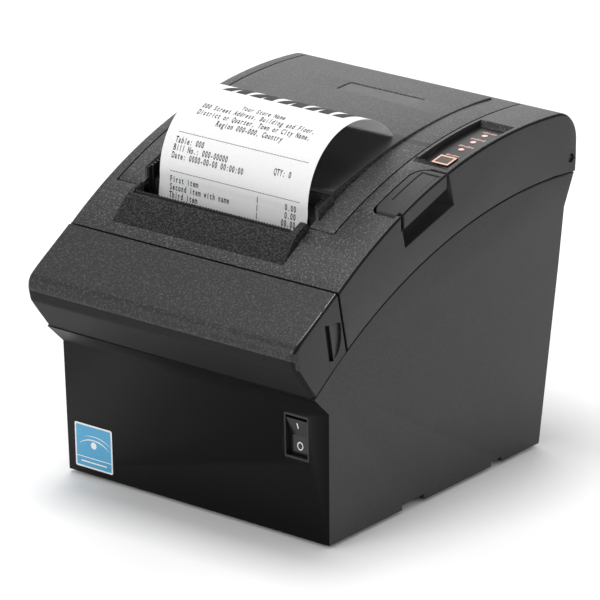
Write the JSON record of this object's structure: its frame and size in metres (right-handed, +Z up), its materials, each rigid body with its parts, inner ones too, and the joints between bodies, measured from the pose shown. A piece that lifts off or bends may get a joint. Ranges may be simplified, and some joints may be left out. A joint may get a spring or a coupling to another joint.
{
  "type": "receipt printer",
  "caption": "Thermal receipt printer for 80 mm rolls: hinged paper cover with release lever, sliding cutter cover, platen and head, blade drive, rear connectors.",
  "frame": {"origin": "middle of the footprint, on the surface that the rubber feet stand on", "axes": "-Y towards the front, +X to the user's right, +Z up"},
  "size_m": [0.145, 0.1891, 0.1578],
  "materials": {
    "case_grey": "fine moulded speckle texture, dark grey",
    "case_black": "black moulded base",
    "trim_black": "coarse-grained black",
    "rubber_grey": "soft rubber",
    "steel": "bright steel",
    "zinc_plate": "zinc-plated sheet",
    "gear_white": "natural acetal",
    "brass": "machined",
    "head_alloy": "extruded",
    "paper_white": "thermal paper",
    "core_card": "wound tube",
    "board_green": "solder mask on laminate",
    "sticker_blue": "printed label",
    "panel_black": "printed overlay",
    "lamp_pink": "diffused lens",
    "button_olive": "smoked key",
    "switch_black": "polished",
    "ribbon_white": "flat cable"
  },
  "bodies": {
    "root": {"lower_case": "case_grey", "upper_case": "case_grey", "base_plate": "case_black", "rubber_feet": "rubber_grey", "base_screws": "steel", "exit_guard": "trim_black", "tear_bar": "trim_black", "front_sticker": "sticker_blue", "hinge_pins": "steel", "lever_pin": "steel", "lever_spring": "steel", "mech_frame": "zinc_plate", "head_pivot": "steel", "feed_motor": "steel", "idler_axle": "steel", "cutter_motor": "steel", "paper_bucket": "trim_black", "paper_web": "paper_white", "main_board": "board_green", "connector_panel": "zinc_plate", "panel_screws": "steel", "dc_jack": "switch_black", "drawer_jack": "switch_black", "usb_port": "steel", "lan_port": "steel", "serial_port": "steel", "panel_board": "board_green", "panel_overlay": "panel_black", "status_lamps": "lamp_pink", "switch_body": "switch_black", "head_cable": "ribbon_white", "mech_screws": "steel"},
    "cover": {"paper_cover": "case_grey", "cover_badge": "case_grey", "cover_liner": "trim_black", "fixed_blade": "steel", "receipt_slip": "paper_white", "platen_bushes": "gear_white"},
    "platen": {"platen_roller": "rubber_grey", "platen_shaft": "steel", "platen_gear": "gear_white"},
    "lever": {"cover_open_lever": "case_grey"},
    "latch": {"latch_shaft": "steel", "latch_hooks": "zinc_plate"},
    "nose": {"cutter_cover": "case_grey"},
    "head": {"thermal_head": "head_alloy", "head_springs": "steel"},
    "idler": {"idler_gear": "gear_white"},
    "feed_pinion": {"motor_pinion": "brass"},
    "blade": {"moving_blade": "steel"},
    "cutter_drive": {"cutter_shaft": "gear_white"},
    "cutter_input": {"cutter_pinion": "brass"},
    "feed_key": {"feed_button": "button_olive"},
    "rocker": {"power_rocker": "switch_black"},
    "paper_end": {"near_end_lever": "gear_white"},
    "roll": {"paper_roll": "paper_white", "roll_core": "core_card"}
  },
  "joints": [
    {"name": "cover_hinge", "type": "hinge", "parent": "root", "child": "cover", "pos_m": [0, 0.0899, 0.1243], "axis": [-1, 0, 0], "range_deg": [0, 85]},
    {"name": "roll_spin", "type": "hinge", "parent": "root", "child": "roll", "pos_m": [0, 0.026, 0.0723], "axis": [1, 0, 0], "continuous": true},
    {"name": "platen_spin", "type": "hinge", "parent": "cover", "child": "platen", "pos_m": [0, -0.031, 0.101], "axis": [1, 0, 0], "continuous": true},
    {"name": "idler_spin", "type": "hinge", "parent": "root", "child": "idler", "pos_m": [0, -0.02782, 0.0845], "axis": [1, 0, 0], "continuous": true},
    {"name": "feed_pinion_spin", "type": "hinge", "parent": "root", "child": "feed_pinion", "pos_m": [0, -0.03608, 0.07271], "axis": [1, 0, 0], "continuous": true},
    {"name": "lever_pull", "type": "hinge", "parent": "root", "child": "lever", "pos_m": [0, -0.0234, 0.1262], "axis": [1, 0, 0], "range_deg": [0, 18], "stiffness_Nm_per_rad": 0.12, "springref_deg": -17.19},
    {"name": "latch_turn", "type": "hinge", "parent": "root", "child": "latch", "pos_m": [0, -0.019, 0.084], "axis": [1, 0, 0], "range_deg": [-16.5, 0]},
    {"name": "nose_slide", "type": "slide", "parent": "root", "child": "nose", "axis": [0, -1, 0], "range_m": [0, 0.012]},
    {"name": "head_tilt", "type": "hinge", "parent": "root", "child": "head", "pos_m": [0, -0.0415, 0.088], "axis": [1, 0, 0], "range_deg": [0, 3], "stiffness_Nm_per_rad": 1, "springref_deg": -11.46},
    {"name": "blade_stroke", "type": "slide", "parent": "root", "child": "blade", "axis": [0, 1, 0], "range_m": [0, 0.009]},
    {"name": "cutter_drive_spin", "type": "hinge", "parent": "root", "child": "cutter_drive", "pos_m": [0, -0.058, 0.0942], "axis": [1, 0, 0], "range_deg": [-108, 0]},
    {"name": "cutter_input_spin", "type": "hinge", "parent": "root", "child": "cutter_input", "pos_m": [0, -0.07186, 0.0862], "axis": [1, 0, 0], "range_deg": [0, 323]},
    {"name": "feed_press", "type": "slide", "parent": "root", "child": "feed_key", "axis": [0, 0.1854, -0.9827], "range_m": [0, 0.0004], "stiffness_N_per_m": 600, "springref_m": -0.001},
    {"name": "power_rock", "type": "hinge", "parent": "root", "child": "rocker", "pos_m": [0, -0.0676, 0.0452], "axis": [-1, 0, 0], "range_deg": [0, 16]},
    {"name": "paper_end_tilt", "type": "hinge", "parent": "root", "child": "paper_end", "pos_m": [0, -0.004, 0.04], "axis": [1, 0, 0], "range_deg": [0, 12], "stiffness_Nm_per_rad": 0.01, "springref_deg": -17.19}
  ],
  "couplings": [
    {"joint": "platen_spin", "follows": "roll_spin", "ratio": 6.3333},
    {"joint": "idler_spin", "follows": "roll_spin", "ratio": -4.75},
    {"joint": "feed_pinion_spin", "follows": "roll_spin", "ratio": 9.5},
    {"joint": "latch_turn", "follows": "lever_pull", "ratio": -0.9},
    {"joint": "cutter_drive_spin", "follows": "blade_stroke", "rad_per_m": -208.33},
    {"joint": "cutter_input_spin", "follows": "blade_stroke", "rad_per_m": 625}
  ]
}
